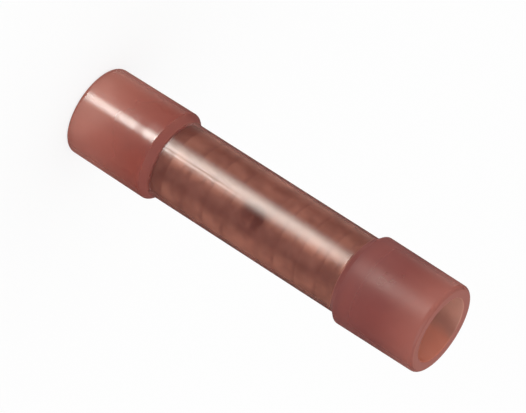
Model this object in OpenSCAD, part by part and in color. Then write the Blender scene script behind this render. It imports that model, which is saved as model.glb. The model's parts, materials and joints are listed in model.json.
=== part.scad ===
// Insulated butt splice connector, standing on one mouth: a copper crimp barrel inside a
// moulded nylon sleeve with a belled mouth at each end. Millimetres, +Z along the barrel.

/* [Barrel] */
// Length of the copper barrel
barrel_length = 15; // [12:0.5:20]
// Diameter of the bore that takes the bared wire
barrel_bore = 1.8; // [1.4:0.1:2.4]
// Wall of the barrel
barrel_wall = 0.8; // [0.6:0.05:1.2]
// Chamfer round each mouth of the bore
mouth_chamfer = 0.25; // [0.1:0.05:0.35]
// Chamfer round each outer end of the barrel
end_chamfer = 0.12; // [0.05:0.01:0.2]

/* [Rolled rings] */
// From the middle of the barrel to the first shallow ring rolled into its outside
first_ring = 2; // [1.7:0.05:2.6]
// From one ring to the next
ring_pitch = 1.65; // [1:0.05:3]
// Width of a ring along the barrel
ring_width = 0.8; // [0.4:0.1:0.9]
// Depth of a ring
ring_depth = 0.04; // [0.02:0.01:0.15]
// Plain end of the barrel that carries no ring
ring_land = 0.5; // [0.45:0.05:3]

/* [Wire grooves] */
// From the middle of the barrel to the first gripping groove in the bore
first_groove = 2.8; // [2:0.1:4]
// From one groove to the next
groove_pitch = 1.65; // [1:0.05:3]
// Width of a groove along the bore
groove_width = 0.3; // [0.15:0.05:0.4]
// Depth of a groove
groove_depth = 0.1; // [0.05:0.01:0.2]
// Plain end of the bore that carries no groove
groove_land = 0.9; // [0.7:0.1:3]

/* [Wire stop] */
// Radius of the round punch that dents the middle of the barrel
stop_round = 0.7; // [0.5:0.05:0.9]
// How deep the punch goes into the outside
stop_depth = 0.6; // [0.3:0.05:0.7]
// Wall left under the punch
stop_wall = 0.7; // [0.5:0.05:0.9]
// How far the wall round the dent is drawn in
pinch_depth = 0.08; // [0.04:0.01:0.12]
// Length of barrel that is drawn in
pinch_length = 2.5; // [2.4:0.1:3]

/* [Sleeve] */
// Radial and end clearance between the barrel and its seat
seat_clearance = 0.02; // [0.01:0.01:0.06]
// Wall of the waist round the barrel
waist_wall = 0.95; // [0.7:0.05:1.3]
// How far the barrel runs past each foot of the waist
barrel_reach = 0.2; // [0.15:0.05:0.5]
// How far the retaining lip reaches in over the end of the barrel
lip_height = 0.15; // [0.08:0.01:0.25]
// Length of the funnel between the lip and the bell
funnel_length = 0.7; // [0.4:0.05:1.2]
// Length of the sloped shoulder between waist and bell
shoulder_length = 0.45; // [0.35:0.05:0.9]
// Radius between the shoulder and the bell
shoulder_round = 0.15; // [0.05:0.05:0.35]
// Radius in the foot between the waist and the shoulder
foot_round = 0.3; // [0.1:0.05:0.6]

/* [Bells] */
// Length of each bell, from shoulder to rim
bell_length = 6; // [4:0.1:9]
// Diameter of the bore that takes the wire's insulation
bell_bore = 4.5; // [4:0.1:5.5]
// Wall of the bell where it meets the shoulder
bell_wall = 0.85; // [0.6:0.05:1.2]
// How much thinner the wall is at the rim
bell_draft = 0.04; // [0:0.01:0.1]
// Radius round the outside of the rim
rim_round = 0.3; // [0.1:0.05:0.35]
// Radius round the inside of the rim
rim_ease = 0.12; // [0.05:0.01:0.2]

/* [Hidden] */

$fn = 96;
arc_steps = 6;

half_barrel = barrel_length / 2;
bore_r = barrel_bore / 2;
mid_wall_r = bore_r + barrel_wall / 2;
barrel_r = bore_r + barrel_wall;

seat_r = barrel_r + seat_clearance;
half_seat = half_barrel + seat_clearance;
lip_r = barrel_r - lip_height;
waist_r = seat_r + waist_wall;
bell_bore_r = bell_bore / 2;
bell_r = bell_bore_r + bell_wall;
rim_r = bell_r - bell_draft;

foot_z = half_barrel - barrel_reach;
shoulder_z = foot_z + shoulder_length;
funnel_z = half_seat + funnel_length;
rim_z = shoulder_z + bell_length;
middle_z = rim_z;

// Heights above the middle, one pitch apart, that stay clear of the plain end
function row(first, pitch, land) = [for (z = first; z <= half_barrel - land; z = z + pitch) z];

// Radius of the circle that cuts a dip of this length and depth
function dip_radius(length, depth) = (length * length / 4 + depth * depth) / (2 * depth);

function unit(v) = v / norm(v);

// Points of the arc that rounds the corner p between the edges to a and b
function corner(a, p, b, r) =
    let (
        u = unit(a - p),
        v = unit(b - p),
        half_angle = acos(u * v) / 2,
        reach = min(r / tan(half_angle), norm(a - p) / 2, norm(b - p) / 2),
        round = reach * tan(half_angle),
        centre = p + unit(u + v) * round / sin(half_angle),
        out = p + u * reach - centre,
        back = p + v * reach - centre,
        start = atan2(out[1], out[0]),
        turn = atan2(out[0] * back[1] - out[1] * back[0], out * back)
    )
    [
        for (i = [0:arc_steps])
            let (angle = start + turn * i / arc_steps)
            centre + round * [cos(angle), sin(angle)]
    ];

// An outline above the middle, closed by its mirror image below
function closed(edge) = concat(edge, [for (i = [len(edge) - 1:-1:0]) [edge[i][0], -edge[i][1]]]);

// Upper edge of the sleeve's section: up the outside from the waist to the rim, then down the
// inside through the bell and the funnel to the barrel's seat
sleeve_edge = concat(
    corner([waist_r, 0], [waist_r, foot_z], [bell_r, shoulder_z], foot_round),
    corner([waist_r, foot_z], [bell_r, shoulder_z], [rim_r, rim_z], shoulder_round),
    corner([bell_r, shoulder_z], [rim_r, rim_z], [bell_bore_r, rim_z], rim_round),
    corner([rim_r, rim_z], [bell_bore_r, rim_z], [bell_bore_r, funnel_z], rim_ease),
    [
        [bell_bore_r, funnel_z],
        [lip_r, half_seat],
        [seat_r, half_seat]
    ]
);

// Upper edge of the barrel's section, its plain tube with chamfered ends
tube_edge = [
    [barrel_r, half_barrel - end_chamfer],
    [barrel_r - end_chamfer, half_barrel],
    [bore_r + mouth_chamfer, half_barrel],
    [bore_r, half_barrel - mouth_chamfer]
];

// Dip of a rolled ring in the outside, as a circle that cuts into the tube
module ring_cut(z, length, depth) {
    round = dip_radius(length, depth);
    translate([barrel_r - depth + round, z]) circle(round);
}

module groove_cut(z) {
    polygon([
        [bore_r - groove_depth, z - groove_width],
        [bore_r + groove_depth, z],
        [bore_r - groove_depth, z + groove_width]
    ]);
}

// Wall drawn in at the middle: the part of a large circle that stands into the bore
module pinch_section() {
    round = dip_radius(pinch_length, pinch_depth);
    intersection() {
        translate([bore_r - pinch_depth + round, 0]) circle(round);
        translate([0, -pinch_length / 2]) square([mid_wall_r, pinch_length]);
    }
}

module barrel_section() {
    difference() {
        union() {
            polygon(closed(tube_edge));
            pinch_section();
        }
        ring_cut(0, pinch_length, pinch_depth);
        for (side = [-1, 1]) {
            for (z = row(first_ring, ring_pitch, ring_land)) ring_cut(side * z, ring_width, ring_depth);
            for (z = row(first_groove, groove_pitch, groove_land)) groove_cut(side * z);
        }
    }
}

// Sets a ball at the centre of the round punch that makes the wire stop
module at_punch() {
    punch_y = barrel_r - pinch_depth - stop_depth + stop_round;
    translate([0, -punch_y, 0]) children();
}

module insulating_sleeve() {
    color([0.74, 0.36, 0.34, 0.75])
    translate([0, 0, middle_z])
    rotate_extrude()
    polygon(closed(sleeve_edge));
}

module crimp_barrel() {
    color([0.72, 0.45, 0.3])
    translate([0, 0, middle_z])
    difference() {
        union() {
            rotate_extrude() barrel_section();
            intersection() {
                at_punch() sphere(stop_round + stop_wall);
                cylinder(h = pinch_length, r = mid_wall_r, center = true);
            }
        }
        at_punch() sphere(stop_round);
    }
}

insulating_sleeve();
crimp_barrel();
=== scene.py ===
"""Looks of a butt splice connector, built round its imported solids.

A copper crimp barrel sits inside a moulded nylon sleeve with a belled mouth at each end. The
part stands on its lower mouth, and the camera is rolled so that it lies across the picture.
Lengths are in metres.
"""

import json
import logging
import math
from dataclasses import dataclass
from enum import Enum
from typing import Callable, Sequence, Union

import bmesh
import bpy
from mathutils import Matrix, Quaternion, Vector


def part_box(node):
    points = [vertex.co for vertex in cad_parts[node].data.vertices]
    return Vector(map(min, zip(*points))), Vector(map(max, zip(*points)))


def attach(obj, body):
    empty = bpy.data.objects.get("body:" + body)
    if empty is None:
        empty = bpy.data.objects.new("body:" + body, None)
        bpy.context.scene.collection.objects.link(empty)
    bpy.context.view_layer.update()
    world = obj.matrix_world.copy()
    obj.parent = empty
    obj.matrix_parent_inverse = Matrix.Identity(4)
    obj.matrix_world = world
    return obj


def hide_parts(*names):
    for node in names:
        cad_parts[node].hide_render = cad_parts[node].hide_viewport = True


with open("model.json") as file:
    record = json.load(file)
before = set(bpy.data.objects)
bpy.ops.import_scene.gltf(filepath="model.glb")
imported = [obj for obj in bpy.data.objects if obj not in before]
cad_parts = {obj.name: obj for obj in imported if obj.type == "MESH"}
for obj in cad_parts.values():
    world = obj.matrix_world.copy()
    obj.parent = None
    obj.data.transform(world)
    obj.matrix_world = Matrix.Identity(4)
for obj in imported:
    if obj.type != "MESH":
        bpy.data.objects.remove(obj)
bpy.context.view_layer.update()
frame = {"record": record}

BODY = "root"
MM = 0.001
TURN = 2 * math.pi
PHOTO_WIDTH = 526
# Distance of the extra row beside a rounding, which keeps the next face flat
GUARD = 0.02 * MM
# Faces that meet at more than this have a crisp edge between them
SHARP_ANGLE = math.radians(32)
# How much each finer layer of a noise adds to the one before
NOISE_GAIN = 0.55
# Numbers of the colour sockets of a Mix node, whose names it uses several times
MIX_SHARE, MIX_FIRST, MIX_SECOND, MIX_RESULT = 0, 6, 7, 2

log = logging.getLogger("connector")

Colour = tuple[float, float, float]
Place = tuple[float, float, float]
Point = tuple[float, float]
Span = tuple[float, float]
Press = Callable[[float, float, float], float]

WHITE: Colour = (1.0, 1.0, 1.0)
BLACK: Colour = (0.0, 0.0, 0.0)
WARM_WHITE: Colour = (1.0, 0.97, 0.88)
COOL_WHITE: Colour = (0.95, 1.0, 0.94)


class Reach(Enum):
    """What a band of light shows in."""

    GLOSS = "the gloss of the skin"
    COPPER = "the copper alone, through the nylon"


class Detail(Enum):
    """How many finer layers a noise has."""

    SMOOTH = 1.0
    PLAIN = 2.0
    FINE = 3.0


class Signal:
    """A shader socket that takes part in Python expressions."""

    def __init__(self, graph: "Graph", socket: bpy.types.NodeSocket | None) -> None:
        """Keeps the socket and the graph that its Math nodes go into."""
        self.graph = graph
        self.socket = socket

    def output(self, name: str) -> "Signal":
        """Another output of the same node."""
        return Signal(self.graph, self.socket.node.outputs[name])

    def math(self, operation: str, *terms: "Term") -> "Signal":
        """A Math node on the given terms."""
        return self.graph.add("ShaderNodeMath", {"operation": operation}, dict(enumerate(terms)))

    def size(self) -> "Signal":
        """The value without its sign."""
        return self.math("ABSOLUTE", self)

    def __add__(self, other: "Term") -> "Signal":
        """Sum of two values."""
        return self.math("ADD", self, other)

    def __radd__(self, other: "Term") -> "Signal":
        """Sum of a number and this value."""
        return self.math("ADD", other, self)

    def __sub__(self, other: "Term") -> "Signal":
        """Difference of two values."""
        return self.math("SUBTRACT", self, other)

    def __rsub__(self, other: "Term") -> "Signal":
        """A number less this value."""
        return self.math("SUBTRACT", other, self)

    def __mul__(self, other: "Term") -> "Signal":
        """Product of two values."""
        return self.math("MULTIPLY", self, other)

    def __rmul__(self, other: "Term") -> "Signal":
        """Product of a number and this value."""
        return self.math("MULTIPLY", other, self)


Term = Union[Signal, float, Sequence[float]]


class Graph:
    """Adds nodes to one node tree."""

    def __init__(self, tree: bpy.types.NodeTree) -> None:
        """Starts from an empty tree."""
        self.tree = tree
        self.tree.nodes.clear()

    def add(
        self,
        kind: str,
        settings: dict[str, object] | None = None,
        inputs: dict[int | str, Term] | None = None,
        output: int | str = 0,
    ) -> Signal:
        """Adds one node.

        Args:
            kind: Blender's name of the node type.
            settings: Properties of the node, set before its sockets.
            inputs: Values or links, by socket name or number.
            output: The socket that the result stands for.

        Returns:
            The chosen output of the new node.
        """
        node = self.tree.nodes.new(kind)
        for name, value in (settings or {}).items():
            setattr(node, name, value)
        for name, value in (inputs or {}).items():
            if isinstance(value, Signal):
                self.tree.links.new(value.socket, node.inputs[name])
            else:
                node.inputs[name].default_value = value
        if not node.outputs:
            return Signal(self, None)
        return Signal(self, node.outputs[output])

    def blend(self, share: Term, first: Term, second: Term) -> Signal:
        """Mixes two colours.

        Args:
            share: How much of the second colour shows, from 0 to 1.
            first: Colour at share 0.
            second: Colour at share 1.

        Returns:
            The mixed colour.
        """
        inputs = {MIX_SHARE: share, MIX_FIRST: first, MIX_SECOND: second}
        return self.add("ShaderNodeMix", {"data_type": "RGBA"}, inputs, MIX_RESULT)

    def vector(self, operation: str, first: Term, second: Term, output: str = "Vector") -> Signal:
        """A Vector Math node on two places."""
        inputs = {0: first, 1: second}
        return self.add("ShaderNodeVectorMath", {"operation": operation}, inputs, output)

    def part_place(self, stretch: Place = (1.0, 1.0, 1.0)) -> Signal:
        """Finds a point's place on the part.

        Args:
            stretch: Factor along each axis.

        Returns:
            The place in millimetres times the stretch.
        """
        place = self.add("ShaderNodeTexCoord", output="Object")
        scale = [factor / MM for factor in stretch]
        return self.vector("MULTIPLY", place, scale)

    def axis_distance(self) -> Signal:
        """Distance from the part's axis in millimetres."""
        place = self.part_place((1.0, 1.0, 0.0))
        return self.add("ShaderNodeVectorMath", {"operation": "LENGTH"}, {0: place}, "Value")

    def axis_height(self) -> Signal:
        """Height on the part in millimetres."""
        return self.add("ShaderNodeSeparateXYZ", None, {0: self.part_place()}, "Z")

    def noise(self, place: Signal, scale: float, detail: Detail = Detail.PLAIN) -> Signal:
        """Noise from 0 to 1 at this many features per millimetre."""
        inputs = {"Vector": place, "Scale": scale, "Detail": detail.value, "Roughness": NOISE_GAIN}
        return self.add("ShaderNodeTexNoise", None, inputs)

    def ramp(self, value: Term, low: float, high: float) -> Signal:
        """Smooth step from 0 at low to 1 at high."""
        inputs = {"Value": value, "From Min": low, "From Max": high}
        return self.add("ShaderNodeMapRange", {"interpolation_type": "SMOOTHSTEP"}, inputs)

    def bump(self, height: Term, strength: float, distance: float) -> Signal:
        """Normal of a surface with this height, in units of distance."""
        inputs = {"Height": height, "Strength": strength, "Distance": distance}
        return self.add("ShaderNodeBump", None, inputs)


def opaque(colour: Colour) -> tuple[float, float, float, float]:
    """The colour with full alpha, as a colour socket takes it."""
    return (*colour, 1.0)


def new_material(name: str) -> tuple[bpy.types.Material, Graph]:
    """Makes an empty material.

    Args:
        name: Name of the material.

    Returns:
        The material and the graph of its nodes.
    """
    material = bpy.data.materials.new(name)
    material.use_nodes = True
    return material, Graph(material.node_tree)


def placed(name: str, data: bpy.types.ID) -> bpy.types.Object:
    """Puts a mesh, lamp or camera into the scene.

    Args:
        name: Name of the new object.
        data: What the object shows.

    Returns:
        The new object.
    """
    thing = bpy.data.objects.new(name, data)
    bpy.context.scene.collection.objects.link(thing)
    return thing


@dataclass(frozen=True)
class NylonZones:
    """Where a point lies on the sleeve: its place in millimetres, then shares from 0 to 1."""

    place: Signal
    above: Signal
    upper: Signal
    bore: Signal
    bell: Signal
    slope: Signal
    frost: Signal
    rim: Signal
    outward: Signal
    cloud: Signal


@dataclass(frozen=True)
class RedNylon:
    """Moulded translucent nylon: pale and clear in itself, with a red cloudiness and a gloss skin.

    Places, widths and heights on the sleeve are in millimetres.
    """

    slot: str = "red_nylon"
    clear: Colour = (0.92, 0.78, 0.74)
    waist_red: Colour = (0.55, 0.15, 0.12)
    waist_dark: Colour = (0.48, 0.125, 0.1)
    slope_red: Colour = (0.36, 0.08, 0.062)
    bell_red: Colour = (0.34, 0.072, 0.054)
    upper_bell_painted_shade: Colour = (0.275, 0.064, 0.058)
    bell_pale: Colour = (0.5, 0.16, 0.123)
    rim_red: Colour = (0.41, 0.135, 0.105)
    # Painted light and shade in the bores: a pale grey side, a warm glow on the other side and a
    # dark shaded band between.
    bore_painted_glow: Colour = (0.67, 0.185, 0.107)
    bore_painted_light: Colour = (0.68, 0.32, 0.24)
    bore_painted_shade: Colour = (0.36, 0.12, 0.085)
    depth_colour: Colour = (0.8, 0.3, 0.2)
    depth_density: float = 250.0
    refraction: float = 1.53
    waist_haze: float = 0.16
    bell_haze: float = 0.55
    upper_haze: float = 0.1
    cloud_haze: float = 0.05
    bore_haze: float = 0.85
    rim_haze: float = 0.4
    coat: float = 0.9
    skin_roughness: float = 0.1
    bore_roughness: float = 0.5
    sheen_roughness: float = 0.36
    graze_roughness: float = 0.45
    graze_span: Span = (0.55, 0.8)
    rim_matt: float = 0.5
    slope_matt: float = 0.8
    frost_matt: float = 0.6
    cloud_dulling: float = 0.06
    slope_dulling: float = 0.3
    frost_dulling: float = 0.25
    middle: float = 13.75
    middle_half: float = 1.0
    bore_start: float = 1.76
    bore_end: float = 2.28
    bore_blur: float = 0.03
    foot_span: Span = (7.2, 7.35)
    shoulder: float = 7.75
    rim: float = 13.6
    rim_edge: float = 2.85
    edge_blur: float = 0.1
    upper_slope_shift: float = 0.2
    frost_length: float = 3.5
    pale_span: Span = (7.45, 12.8)
    # The upper bell turns pale further from its shoulder, part of its painted shade.
    upper_pale_shift: float = 2.6
    cloud_scale: float = 0.35
    cloud_span: Span = (0.35, 0.68)
    # Size, waver and width of the painted light and shade in the bores.
    bore_scale: float = 0.6
    bore_waver: float = 1.2
    bore_half: float = 0.7
    bore_painted_shade_strength: float = 0.8
    bore_painted_shade_half: float = 1.0
    ripple_stretch: Place = (1.0, 1.0, 0.25)
    ripple_scale: float = 0.5
    ripple_height: float = 0.003
    grain_scale: float = 2.2
    grain_height: float = 0.0003
    seam: Place = (0.958, -0.286, 0.0)
    seam_span: Span = (0.02, 0.12)
    seam_fade: Span = (-4.0, 1.0)
    seam_depth: float = 0.008
    ledge: float = -9.05
    ledge_half: float = 0.4
    ledge_height: float = 0.042

    @staticmethod
    def step(graph: Graph, value: Signal, place: float, blur: float) -> Signal:
        """Soft step from 0 to 1 where the value passes a place."""
        return graph.ramp(value, place - blur, place + blur)

    def zones(self, graph: Graph) -> NylonZones:
        """Finds where a point lies on the sleeve.

        Args:
            graph: The material's nodes.

        Returns:
            The point's place and how much it belongs to each zone.
        """
        place = graph.part_place()
        distance = graph.axis_distance()
        above = graph.axis_height() - self.middle
        height = above.size()
        bore = self.step(graph, distance, self.bore_start, self.bore_blur)
        bore = bore - self.step(graph, distance, self.bore_end, self.bore_blur)
        bell = graph.ramp(height, *self.foot_span)
        upper = self.step(graph, above, 0.0, self.middle_half)
        corner = height - self.upper_slope_shift * upper
        slope = bell - self.step(graph, corner, self.shoulder, self.edge_blur)
        start = 1 - graph.ramp(height, self.shoulder, self.shoulder + self.frost_length)
        face = self.step(graph, height, self.rim, self.edge_blur)
        return NylonZones(
            place=place,
            above=above,
            upper=upper,
            bore=bore,
            bell=bell,
            slope=slope,
            frost=(bell - slope) * upper * start,
            rim=face - face * self.step(graph, distance, self.rim_edge, self.edge_blur),
            outward=graph.ramp(height - self.upper_pale_shift * upper, *self.pale_span),
            cloud=graph.ramp(graph.noise(place, self.cloud_scale, Detail.FINE), *self.cloud_span),
        )

    def relief(self, graph: Graph, zones: NylonZones) -> Signal:
        """Waves of the skin, a faint moulding seam on the waist and a ledge on the lower bell.

        Args:
            graph: The material's nodes.
            zones: Where the point lies.

        Returns:
            The bumped normal.
        """
        along = graph.part_place(self.ripple_stretch)
        ripple = graph.noise(along, self.ripple_scale, Detail.SMOOTH)
        grain = graph.noise(zones.place, self.grain_scale, Detail.FINE)
        aside = graph.vector("DOT_PRODUCT", zones.place, self.seam, "Value")
        seam = 1 - graph.ramp(aside.size(), *self.seam_span)
        seam = seam * (1 - graph.ramp(zones.above, *self.seam_fade)) * (1 - zones.bell)
        ledge = self.step(graph, zones.above, self.ledge, self.ledge_half)
        height = self.ripple_height * ripple + self.grain_height * grain
        height = height - self.seam_depth * seam + self.ledge_height * ledge
        return graph.bump(height, 1.0, MM)

    def painted_bore_light(self, graph: Graph, zones: NylonZones) -> Signal:
        """Painted light and shade inside the bells, held in the colour of their cloudiness.

        Args:
            graph: The material's nodes.
            zones: Where the point lies.

        Returns:
            A pale grey painted light on one side, a warm painted glow on the other, and a dark
            painted shade in a band between them.
        """
        across = graph.add("ShaderNodeSeparateXYZ", None, {0: zones.place}, "X")
        waver = self.bore_waver * graph.noise(zones.place, self.bore_scale)
        across = across + waver - self.bore_waver / 2
        side = self.step(graph, across, 0.0, self.bore_half)
        bore = graph.blend(side, opaque(self.bore_painted_light), opaque(self.bore_painted_glow))
        shade = 1 - graph.ramp(across.size(), 0.0, self.bore_painted_shade_half)
        return graph.blend(self.bore_painted_shade_strength * shade, bore, opaque(self.bore_painted_shade))

    def tint(self, graph: Graph, zones: NylonZones) -> Signal:
        """Colour of the cloudiness.

        Args:
            graph: The material's nodes.
            zones: Where the point lies.

        Returns:
            Paler towards the rims and deeper on the lower shoulder; a painted shade makes the upper
            bell darker and mauver than the lower one, and the bores hold painted light and shade,
            grey on one side and warm on the other.
        """
        waist = graph.blend(zones.cloud, opaque(self.waist_red), opaque(self.waist_dark))
        # A painted shade makes the upper bell darker and mauver than the lower one, and the upper
        # shoulder keeps it in place of the deep red.
        bell = graph.blend(zones.upper, opaque(self.bell_red), opaque(self.upper_bell_painted_shade))
        bell = graph.blend(zones.outward, bell, opaque(self.bell_pale))
        bell = graph.blend(zones.slope * (1 - zones.upper), bell, opaque(self.slope_red))
        outside = graph.blend(zones.rim, graph.blend(zones.bell, waist, bell), opaque(self.rim_red))
        # The bores take their painted light and shade.
        return graph.blend(zones.bore, outside, self.painted_bore_light(graph, zones))

    def haze_share(self, zones: NylonZones) -> Signal:
        """How much of the surface is cloudy rather than clear.

        Args:
            zones: Where the point lies.

        Returns:
            The share, from 0 to 1.
        """
        cloudy = self.waist_haze + (self.bell_haze - self.waist_haze) * zones.bell
        cloudy = cloudy + self.rim_haze * zones.rim + self.cloud_haze * zones.cloud
        # The upper bell is cloudier, which gives more of its painted shade.
        cloudy = cloudy + self.upper_haze * zones.bell * zones.upper
        return cloudy + (self.bore_haze - cloudy) * zones.bore

    def material(self) -> bpy.types.Material:
        """Makes the nylon's material.

        Returns:
            A material with a surface and an absorbing inside.
        """
        material, graph = new_material(self.slot)
        zones = self.zones(graph)
        relief = self.relief(graph, zones)
        facing = graph.add("ShaderNodeLayerWeight", output="Facing")
        graze = graph.ramp(facing, *self.graze_span)
        blur = self.graze_roughness * graze
        matt = zones.bore + self.rim_matt * zones.rim
        rough = matt + self.slope_matt * zones.slope + self.frost_matt * zones.frost
        rough = (self.bore_roughness - self.skin_roughness) * rough
        dull = self.cloud_dulling * zones.cloud + self.slope_dulling * zones.slope
        dull = dull + self.frost_dulling * zones.frost
        clear = graph.add(
            "ShaderNodeBsdfPrincipled",
            None,
            {
                "Base Color": opaque(self.clear),
                "Roughness": self.skin_roughness + rough + blur,
                "IOR": self.refraction,
                "Transmission Weight": 1.0,
                "Normal": relief,
            },
        )
        haze = graph.add(
            "ShaderNodeBsdfPrincipled",
            None,
            {
                "Base Color": self.tint(graph, zones),
                "Roughness": self.sheen_roughness + dull + blur,
                "IOR": self.refraction,
                "Coat Weight": self.coat * (1 - matt - zones.slope - zones.frost) * (1 - graze),
                "Coat Roughness": self.skin_roughness,
                "Normal": relief,
            },
        )
        inputs = {0: self.haze_share(zones), 1: clear, 2: haze}
        surface = graph.add("ShaderNodeMixShader", None, inputs)
        inputs = {"Color": opaque(self.depth_colour), "Density": self.depth_density}
        inside = graph.add("ShaderNodeVolumeAbsorption", None, inputs)
        graph.add("ShaderNodeOutputMaterial", None, {"Surface": surface, "Volume": inside})
        return material


@dataclass(frozen=True)
class BareCopper:
    """Drawn copper with fine lengthwise lines, brown tarnish in patches and a painted shade in the
    dent of its wire stop.
    """

    slot: str = "bare_copper"
    # Both colours are darker than bare copper: tarnish in part, and in part a painted shade that
    # stands in for darker surroundings in the copper's reflection, which the copper-only bands of
    # light make up for.
    bright: Colour = (0.31, 0.215, 0.175)
    tarnished: Colour = (0.205, 0.138, 0.113)
    # Painted shade in the dent of the wire stop.
    stop_painted_shade: Colour = (0.06, 0.04, 0.034)
    roughness: float = 0.34
    patch_stretch: Place = (1.0, 1.0, 0.8)
    patch_scale: float = 0.8
    patch_span: Span = (0.3, 0.7)
    patch_dulling: float = 0.04
    line_stretch: Place = (1.0, 1.0, 0.05)
    line_scale: float = 7.0
    line_dulling: float = 0.06
    line_strength: float = 0.25
    line_depth: float = 0.01 * MM
    stop: Place = (0.0, -1.5, 13.75)
    stop_shade_scale: float = 1.5
    stop_shade_span: Span = (0.6, 2.0)

    def material(self) -> bpy.types.Material:
        """Makes the copper's material.

        Returns:
            A metal with draw lines, tarnish and a painted shade at the wire stop.
        """
        material, graph = new_material(self.slot)
        patch = graph.noise(graph.part_place(self.patch_stretch), self.patch_scale)
        patch = graph.ramp(patch, *self.patch_span)
        line = graph.noise(graph.part_place(self.line_stretch), self.line_scale, Detail.FINE)
        place = graph.part_place()
        # Painted shade, darkest in the wire stop's dent and fading out through a little noise.
        near = graph.vector("DISTANCE", place, self.stop, "Value")
        stop_shade_waver = graph.noise(place, self.stop_shade_scale)
        painted_stop_shade = 1 - graph.ramp(near + stop_shade_waver, *self.stop_shade_span)
        colour = graph.blend(patch, opaque(self.bright), opaque(self.tarnished))
        dull = self.patch_dulling * patch + self.line_dulling * line
        surface = graph.add(
            "ShaderNodeBsdfPrincipled",
            None,
            {
                "Base Color": graph.blend(painted_stop_shade, colour, opaque(self.stop_painted_shade)),
                "Metallic": 1.0,
                "Roughness": self.roughness + dull,
                "Normal": graph.bump(line, self.line_strength, self.line_depth),
            },
        )
        graph.add("ShaderNodeOutputMaterial", None, {"Surface": surface})
        return material


@dataclass(frozen=True)
class PaleFloor:
    """Matt white floor that shows as a white background and keeps the part's soft shadow."""

    colour: Colour = (0.94, 0.94, 0.94)
    own_white: float = 0.8

    def material(self) -> bpy.types.Material:
        """Makes the floor's material.

        Returns:
            A matt surface that glows a little for the camera.
        """
        material, graph = new_material("pale_floor")
        matt = graph.add("ShaderNodeBsdfDiffuse", None, {"Color": opaque(self.colour)})
        white = graph.add("ShaderNodeEmission", None, {"Color": opaque(WHITE), "Strength": 1.0})
        seen = graph.add("ShaderNodeLightPath", output="Is Camera Ray")
        inputs = {0: seen * self.own_white, 1: matt, 2: white}
        shown = graph.add("ShaderNodeMixShader", None, inputs)
        graph.add("ShaderNodeOutputMaterial", None, {"Surface": shown})
        return material


@dataclass(frozen=True)
class DarkCard:
    """Matt dark card that keeps the white surround out of the gloss."""

    colour: Colour = (0.06, 0.06, 0.06)

    def material(self) -> bpy.types.Material:
        """Makes the card's material.

        Returns:
            A matt dark surface.
        """
        material, graph = new_material("dark_card")
        matt = graph.add("ShaderNodeBsdfDiffuse", None, {"Color": opaque(self.colour)})
        graph.add("ShaderNodeOutputMaterial", None, {"Surface": matt})
        return material


def rounded(
    before: Point, corner: Point, after: Point, radius: float, steps: int = 10
) -> list[Point]:
    """Rounds one corner of an outline.

    Args:
        before: The outline's point before the corner.
        corner: The sharp corner.
        after: The outline's point after the corner.
        radius: Radius of the arc.
        steps: How many chords the arc is made of.

    Returns:
        Points along the arc that takes the corner's place, and one close by on each straight
        edge, so that the edge's shading stays flat.
    """
    here = Vector(corner)
    back = (Vector(before) - here).normalized()
    on = (Vector(after) - here).normalized()
    half_angle = math.acos(max(-1.0, min(1.0, back.dot(on)))) / 2
    reach = radius / math.tan(half_angle)
    centre = here + (back + on).normalized() * (radius / math.sin(half_angle))
    first = here + back * reach - centre
    last = here + on * reach - centre
    turn = math.atan2(first.x * last.y - first.y * last.x, first.dot(last))
    points = [tuple(centre + first + back * GUARD)]
    for step in range(steps + 1):
        spun = Matrix.Rotation(turn * step / steps, 2) @ first
        points.append(tuple(centre + spun))
    return [*points, tuple(centre + last + on * GUARD)]


def finely(outline: Sequence[Point], longest: float) -> list[Point]:
    """Splits the long edges of a closed outline.

    Args:
        outline: Corners of the outline in order.
        longest: The longest edge that may stay.

    Returns:
        The outline's points with even steps along the long edges.
    """
    points = []
    for start, end in zip(outline, [*outline[1:], outline[0]]):
        first, last = Vector(start), Vector(end)
        count = max(1, math.ceil((last - first).length / longest))
        points += [tuple(first.lerp(last, step / count)) for step in range(count)]
    return points


def turned(name: str, outline: Sequence[Point], segments: int, press: Press) -> bpy.types.Object:
    """Turns a closed outline about the Z axis into a closed mesh.

    Args:
        name: Name of the new piece.
        outline: Points of radius and height, anticlockwise.
        segments: Number of steps round the axis.
        press: Gives a point's final radius from its radius, height and angle.

    Returns:
        The new piece, smooth apart from its sharp edges.
    """
    rows = len(outline)
    corners = []
    for segment in range(segments):
        angle = TURN * segment / segments
        for radius, height in outline:
            reach = press(radius, height, angle)
            corners.append((reach * math.cos(angle), reach * math.sin(angle), height))
    faces = []
    for segment in range(segments):
        here, there = segment * rows, (segment + 1) % segments * rows
        for row in range(rows):
            above = (row + 1) % rows
            faces.append((here + row, there + row, there + above, here + above))
    mesh = bpy.data.meshes.new(name)
    mesh.from_pydata(corners, [], faces)
    mesh.polygons.foreach_set("use_smooth", [True] * len(faces))
    mesh.set_sharp_from_angle(angle=SHARP_ANGLE)
    mesh.validate()
    return placed(name, mesh)


def bore_radius(mount: str) -> float:
    """Radius of one of the record's bores."""
    found = next(row for row in frame["record"]["mounts"] if row["name"] == mount)
    return found["dims"]["r_mm"] * MM


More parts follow.
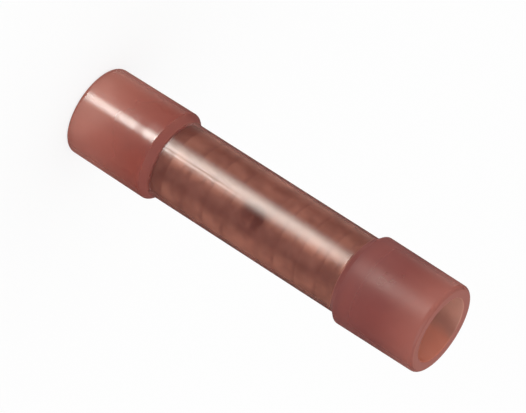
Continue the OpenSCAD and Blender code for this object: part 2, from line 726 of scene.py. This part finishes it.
@dataclass
class CrimpBarrel:
    """The copper tube with its rolled rings, wire grooves and punched wire stop."""

    finish: BareCopper
    node: str = "crimp_barrel"
    end_chamfer: float = 0.12 * MM
    mouth_chamfer: float = 0.25 * MM
    ring_start: float = 2.0 * MM
    ring_pitch: float = 1.65 * MM
    ring_count: int = 4
    ring_width: float = 0.8 * MM
    ring_depth: float = 0.04 * MM
    groove_start: float = 2.8 * MM
    groove_count: int = 3
    groove_width: float = 0.3 * MM
    groove_depth: float = 0.1 * MM
    pinch_length: float = 2.5 * MM
    pinch_depth: float = 0.08 * MM
    dent_reach: float = 0.95 * MM
    dent_depth: float = 0.3 * MM
    punch_centre: float = 1.72 * MM
    bulge_radius: float = 1.4 * MM
    row_step: float = 0.06 * MM
    segments: int = 240

    def __post_init__(self) -> None:
        """Takes the tube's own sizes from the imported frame."""
        low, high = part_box(self.node)
        self.radius = (high.x - low.x) / 2
        self.half = (high.z - low.z) / 2
        self.middle = (high.z + low.z) / 2
        self.bore = bore_radius("wire_entry_upper")
        self.mid_wall = (self.radius + self.bore) / 2

    @staticmethod
    def dip(offset: float, width: float, depth: float) -> float:
        """How deep a round-bottomed dip is at one place.

        Args:
            offset: Distance of the place from the dip's middle.
            width: Width of the dip.
            depth: Depth at its middle.

        Returns:
            The depth there, which is 0 outside the dip.
        """
        if abs(offset) >= width / 2:
            return 0.0
        curve = (width * width / 4 + depth * depth) / (2 * depth)
        return depth - curve + math.sqrt(curve * curve - offset * offset)

    def outside(self, height: float) -> float:
        """Radius of the outside, with the drawn-in middle and the rolled rings.

        Args:
            height: Height above the middle.

        Returns:
            The radius before the wire stop is punched.
        """
        radius = self.radius - self.dip(height, self.pinch_length, self.pinch_depth)
        for number in range(self.ring_count):
            ring = self.ring_start + number * self.ring_pitch
            radius -= self.dip(abs(height) - ring, self.ring_width, self.ring_depth)
        return radius

    def inside(self, height: float) -> float:
        """Radius of the bore, with the drawn-in middle and the wire grooves.

        Args:
            height: Height above the middle.

        Returns:
            The radius before the wire stop is punched.
        """
        radius = self.bore - self.dip(height, self.pinch_length, self.pinch_depth)
        for number in range(self.groove_count):
            groove = self.groove_start + number * self.ring_pitch
            share = 1 - abs(abs(height) - groove) / (self.groove_width / 2)
            radius += self.groove_depth * max(0.0, share)
        return radius

    def outline(self) -> list[Point]:
        """The tube's section, up the outside and down the bore.

        Returns:
            Points of radius and height above the floor, anticlockwise.
        """
        outer_end = self.half - self.end_chamfer
        inner_end = self.half - self.mouth_chamfer
        outer_rows = round(2 * outer_end / self.row_step)
        inner_rows = round(inner_end / self.row_step)
        points = [(self.radius - self.end_chamfer, -self.half)]
        for row in range(outer_rows + 1):
            height = outer_end * (2 * row / outer_rows - 1)
            points.append((self.outside(height), height))
        points.append((self.radius - self.end_chamfer, self.half))
        points.append((self.bore + self.mouth_chamfer, self.half))
        for row in range(inner_rows + 1):
            height = inner_end * (1 - 2 * row / inner_rows)
            points.append((self.inside(height), height))
        points.append((self.bore + self.mouth_chamfer, -self.half))
        return [(radius, height + self.middle) for radius, height in points]

    def punched(self, radius: float, height: float, angle: float) -> float:
        """Radius of a point after the wire stop is punched into the side that faces -Y.

        Args:
            radius: Radius before the punch.
            height: Height of the point.
            angle: Angle of the point about the axis.

        Returns:
            Radius after the punch, which moves the outside in and the bore's wall with it.
        """
        lean = angle + TURN / 4
        above = height - self.middle
        if math.cos(lean) <= 0:
            return radius
        if radius > self.mid_wall:
            near = max(0.0, 1 - math.hypot(above, radius * math.sin(lean)) / self.dent_reach)
            return radius - self.dent_depth * near * near * (3 - 2 * near)
        room = self.bulge_radius**2 - above**2 - (self.punch_centre * math.sin(lean)) ** 2
        if room <= 0:
            return radius
        return min(radius, self.punch_centre * math.cos(lean) - math.sqrt(room))

    def build(self) -> bpy.types.Object:
        """Makes the barrel and puts it in the solid's place.

        Returns:
            The barrel's piece.
        """
        piece = turned("copper_barrel", self.outline(), self.segments, self.punched)
        piece.data.materials.append(self.finish.material())
        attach(piece, BODY)
        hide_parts(self.node)
        return piece


@dataclass
class InsulatingSleeve:
    """The nylon sleeve: a narrow waist that grips the barrel, and a bell at each end."""

    finish: RedNylon
    barrel: CrimpBarrel
    node: str = "insulating_sleeve"
    grip: float = 0.03 * MM
    end_clearance: float = 0.02 * MM
    lip_height: float = 0.15 * MM
    waist_wall: float = 0.97 * MM
    foot_below_end: float = 0.2 * MM
    shoulder_length: float = 0.45 * MM
    funnel_length: float = 0.7 * MM
    bell_draft: float = 0.04 * MM
    foot_round: float = 0.3 * MM
    shoulder_round: float = 0.15 * MM
    rim_round: float = 0.3 * MM
    rim_ease: float = 0.12 * MM
    funnel_round: float = 0.4 * MM
    longest_edge: float = 0.4 * MM
    seat_step: float = 0.1 * MM
    segments: int = 240

    def __post_init__(self) -> None:
        """Takes the sleeve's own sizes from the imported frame."""
        low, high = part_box(self.node)
        self.bell = (high.x - low.x) / 2
        self.rim_height = (high.z - low.z) / 2
        self.bell_bore = bore_radius("insulation_entry_upper")

    def upper_edge(self) -> list[Point]:
        """Half of the section above the middle, up the outside and down the inside.

        Returns:
            Points of radius and height above the middle.
        """
        barrel = self.barrel
        waist = barrel.radius + self.waist_wall
        rim = self.bell - self.bell_draft
        foot = barrel.half - self.foot_below_end
        shoulder = foot + self.shoulder_length
        seat_end = barrel.half + self.end_clearance
        waist_top, bell_foot = (waist, foot), (self.bell, shoulder)
        outer_rim, inner_rim = (rim, self.rim_height), (self.bell_bore, self.rim_height)
        funnel_top = (self.bell_bore, seat_end + self.funnel_length)
        lip = (barrel.radius - self.lip_height, seat_end)
        return [
            *rounded((waist, 0.0), waist_top, bell_foot, self.foot_round),
            *rounded(waist_top, bell_foot, outer_rim, self.shoulder_round),
            *rounded(bell_foot, outer_rim, inner_rim, self.rim_round),
            *rounded(outer_rim, inner_rim, funnel_top, self.rim_ease),
            *rounded(inner_rim, funnel_top, lip, self.funnel_round),
            lip,
            *self.seat(),
        ]

    def seat(self) -> list[Point]:
        """The inside of the waist, which has shrunk on to the barrel.

        Returns:
            Points of radius and height above the middle, from the seat's end inwards.
        """
        barrel = self.barrel
        start = barrel.half - barrel.end_chamfer - self.grip
        rows = round(start / self.seat_step)
        heights = [start * (1 - row / rows) for row in range(rows)]
        end = (barrel.radius - self.lip_height, barrel.half - self.grip)
        return [end, *((barrel.outside(height) - self.grip, height) for height in heights)]

    def seated(self, radius: float, height: float, angle: float) -> float:
        """Radius of a point once the waist has shrunk into the barrel's wire stop.

        Args:
            radius: Radius of the plain turned sleeve.
            height: Height of the point.
            angle: Angle of the point about the axis.

        Returns:
            Radius that follows the barrel where the point lies on its seat.
        """
        if radius > self.barrel.radius:
            return radius
        return self.barrel.punched(radius + self.grip, height, angle) - self.grip

    def outline(self) -> list[Point]:
        """The sleeve's whole section, of which the lower half mirrors the upper.

        Returns:
            Points of radius and height above the floor, anticlockwise.
        """
        edge = self.upper_edge()
        below = [(radius, -height) for radius, height in reversed(edge)]
        closed = finely([*edge, *below], self.longest_edge)
        return [(radius, height + self.barrel.middle) for radius, height in closed]

    def build(self) -> bpy.types.Object:
        """Makes the sleeve and puts it in the solid's place.

        Returns:
            The sleeve's piece.
        """
        piece = turned("nylon_sleeve", self.outline(), self.segments, self.seated)
        piece.data.materials.append(self.finish.material())
        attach(piece, BODY)
        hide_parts(self.node)
        return piece


def direction(azimuth: float, elevation: float) -> Vector:
    """Finds the direction in which something lies from the part.

    Args:
        azimuth: Angle in degrees, 0 towards -Y and 90 towards +X.
        elevation: Angle in degrees above the level.

    Returns:
        The unit vector.
    """
    turn, lift = math.radians(azimuth), math.radians(elevation)
    level = math.cos(lift)
    return Vector((math.sin(turn) * level, -math.cos(turn) * level, math.sin(lift)))


@dataclass(frozen=True)
class SoftLamp:
    """A rectangular lamp that faces the part."""

    name: str
    azimuth: float
    elevation: float
    distance: float
    width: float
    height: float
    radiance: float

    def build(self, target: Vector) -> bpy.types.Object:
        """Hangs the lamp.

        Args:
            target: The point that the lamp faces.

        Returns:
            The lamp's object.
        """
        data = bpy.data.lights.new(self.name, "AREA")
        data.shape = "RECTANGLE"
        data.size, data.size_y = self.width, self.height
        data.energy = self.radiance * math.pi * self.width * self.height
        lamp = placed(self.name, data)
        towards = direction(self.azimuth, self.elevation)
        lamp.location = target + towards * self.distance
        lamp.rotation_mode = "QUATERNION"
        lamp.rotation_quaternion = towards.to_track_quat("Z", "Y")
        lamp.visible_camera = False
        return lamp


@dataclass(frozen=True)
class LightBand:
    """A curved strip of light round the part, at a steady height, that fades towards its ends.

    Its angles are in degrees: the azimuth of its middle, then half of its evenly bright core and
    half of the whole, from that middle.
    """

    name: str
    azimuth: float
    core: float
    half_angle: float
    low: float
    high: float
    radiance: float
    reach: Reach = Reach.GLOSS
    colour: Colour = WARM_WHITE
    radius: float = 0.327
    columns: int = 64

    def material(self) -> bpy.types.Material:
        """Makes the band's material.

        Returns:
            A glow that is strongest at the band's middle.
        """
        material, graph = new_material(self.name)
        place = graph.add("ShaderNodeTexCoord", output="Object")
        side = graph.add("ShaderNodeSeparateXYZ", None, {0: place}, "X")
        turn = side.math("ARCTAN2", side, 0 - side.output("Y"))
        share = 1 - graph.ramp(turn.size(), math.radians(self.core), math.radians(self.half_angle))
        colour = graph.blend(share * share, opaque(BLACK), opaque(self.colour))
        light = graph.add("ShaderNodeEmission", None, {"Color": colour, "Strength": self.radiance})
        graph.add("ShaderNodeOutputMaterial", None, {"Surface": light})
        if self.reach is Reach.COPPER:
            material.cycles.emission_sampling = "NONE"
        return material

    def build(self, target: Vector) -> bpy.types.Object:
        """Hangs the band.

        Args:
            target: The point that the band goes round and its heights are measured from.

        Returns:
            The band's object.
        """
        corners = []
        for column in range(self.columns + 1):
            azimuth = self.half_angle * (2 * column / self.columns - 1)
            out = direction(azimuth, 0.0) * self.radius
            corners += [(out.x, out.y, self.low), (out.x, out.y, self.high)]
        faces = [(n, n + 2, n + 3, n + 1) for n in range(0, 2 * self.columns, 2)]
        mesh = bpy.data.meshes.new(self.name)
        mesh.from_pydata(corners, [], faces)
        mesh.materials.append(self.material())
        band = placed(self.name, mesh)
        band.location = target
        band.rotation_euler.z = math.radians(self.azimuth)
        band.visible_camera = False
        band.visible_glossy = self.reach is Reach.GLOSS
        band.visible_diffuse = self.reach is Reach.GLOSS
        band.visible_shadow = False
        return band


@dataclass
class Studio:
    """A white floor, an even white surround, soft lamps and a dark tent round the gloss."""

    floor_finish: PaleFloor
    card_finish: DarkCard
    middle: Vector
    floor_size: float = 3.0
    tent_radius: float = 1.2
    tent_splits: int = 4
    surround_level: float = 0.95
    lamps: tuple[SoftLamp | LightBand, ...] = (
        LightBand(
            "bell_band", azimuth=-27.0, core=3.0, half_angle=20.0,
            low=-0.19, high=-0.166, radiance=10.5, colour=COOL_WHITE,
        ),
        LightBand(
            "shoulder_band", azimuth=-27.0, core=3.0, half_angle=19.0,
            low=-0.166, high=-0.1585, radiance=27.0, colour=COOL_WHITE,
        ),
        LightBand(
            "waist_band", azimuth=-33.0, core=2.0, half_angle=42.0,
            low=-0.1585, high=-0.1188, radiance=11.6,
        ),
        LightBand(
            "edge_band", azimuth=-140.0, core=5.0, half_angle=45.0,
            low=-0.2, high=-0.08, radiance=0.3,
        ),
        LightBand(
            "copper_front", azimuth=-26.0, core=20.0, half_angle=56.0,
            low=-0.22, high=-0.06, radiance=5.0, reach=Reach.COPPER,
        ),
        LightBand(
            "copper_side", azimuth=-115.0, core=30.0, half_angle=80.0,
            low=-0.25, high=-0.03, radiance=2.0, reach=Reach.COPPER,
        ),
        LightBand(
            "copper_back", azimuth=145.0, core=40.0, half_angle=90.0,
            low=-0.25, high=-0.03, radiance=2.0, reach=Reach.COPPER,
        ),
        SoftLamp(
            "overhead", azimuth=40.0, elevation=62.0, distance=0.35,
            width=0.3, height=0.3, radiance=0.4,
        ),
    )

    def build_floor(self) -> bpy.types.Object:
        """Lays the floor that the part stands on, which shows in no gloss and through no nylon.

        Returns:
            The floor's object.
        """
        half = self.floor_size / 2
        corners = [(-half, -half, 0.0), (half, -half, 0.0), (half, half, 0.0), (-half, half, 0.0)]
        mesh = bpy.data.meshes.new("floor")
        mesh.from_pydata(corners, [], [(0, 1, 2, 3)])
        mesh.materials.append(self.floor_finish.material())
        floor = placed("floor", mesh)
        floor.visible_shadow = False
        floor.visible_glossy = False
        floor.visible_transmission = False
        return floor

    def build_tent(self) -> bpy.types.Object:
        """Hangs a dark round tent, which shows in the gloss alone.

        Returns:
            The tent's object.
        """
        mesh = bpy.data.meshes.new("dark_tent")
        shape = bmesh.new()
        bmesh.ops.create_icosphere(shape, subdivisions=self.tent_splits, radius=self.tent_radius)
        shape.to_mesh(mesh)
        shape.free()
        mesh.materials.append(self.card_finish.material())
        tent = placed("dark_tent", mesh)
        tent.visible_shadow = False
        tent.visible_camera = False
        tent.visible_diffuse = False
        tent.visible_transmission = False
        return tent

    def build_surround(self) -> bpy.types.World:
        """Fills the surroundings with even light, white where the background shows.

        Returns:
            The new world.
        """
        world = bpy.data.worlds.new("white_surround")
        world.use_nodes = True
        graph = Graph(world.node_tree)
        path = graph.add("ShaderNodeLightPath", output="Is Camera Ray")
        hidden = (1 - path) * (1 - path.output("Is Glossy Ray"))
        hidden = hidden * (1 - path.output("Is Transmission Ray"))
        strength = 1 - (1 - self.surround_level) * hidden
        inputs = {"Color": opaque(WHITE), "Strength": strength}
        background = graph.add("ShaderNodeBackground", None, inputs)
        graph.add("ShaderNodeOutputWorld", None, {"Surface": background})
        bpy.context.scene.world = world
        return world

    def build(self) -> None:
        """Builds the floor, the tent, the surround and the lamps."""
        log.info("stage %s", self.build_floor().name)
        log.info("stage %s", self.build_tent().name)
        log.info("world %s", self.build_surround().name)
        for lamp in self.lamps:
            log.info("lamp %s", lamp.build(self.middle).name)


@dataclass
class PhotoCamera:
    """A long lens at the photograph's angle, rolled so that the part lies across the picture."""

    middle: Vector
    azimuth: float = -11.0
    elevation: float = 22.9
    distance: float = 250 * MM
    focal_pixels: float = 4034.0
    sensor_mm: float = 36.0
    roll: float = 122.63
    aim_up: float = 0.686 * MM
    aim_left: float = 0.159 * MM
    nearest: float = 0.01
    farthest: float = 10.0

    def build(self) -> bpy.types.Object:
        """Makes the camera and gives it to the scene.

        Returns:
            The camera's object.
        """
        data = bpy.data.cameras.new("photo_camera")
        data.sensor_width = self.sensor_mm
        data.lens = self.focal_pixels * self.sensor_mm / PHOTO_WIDTH
        data.clip_start, data.clip_end = self.nearest, self.farthest
        camera = placed("photo_camera", data)
        back = direction(self.azimuth, self.elevation)
        level = (-back).to_track_quat("-Z", "Y")
        turn = level @ Quaternion((0, 0, 1), math.radians(self.roll))
        aim = turn @ Vector((-self.aim_left, self.aim_up, 0))
        camera.location = self.middle + back * self.distance + aim
        camera.rotation_mode = "QUATERNION"
        camera.rotation_quaternion = turn
        bpy.context.scene.camera = camera
        return camera


def main() -> None:
    """Builds the part's pieces, the studio and the camera."""
    logging.basicConfig(level=logging.INFO, format="%(name)s: %(message)s")
    bpy.context.scene.view_settings.view_transform = "Standard"
    barrel = CrimpBarrel(BareCopper())
    sleeve = InsulatingSleeve(RedNylon(), barrel)
    for part in (barrel, sleeve):
        piece = part.build()
        log.info("piece %s, %d faces", piece.name, len(piece.data.polygons))
    middle = Vector((0, 0, barrel.middle))
    Studio(PaleFloor(), DarkCard(), middle).build()
    log.info("camera %s", PhotoCamera(middle).build().name)


if __name__ == "__main__":
    main()
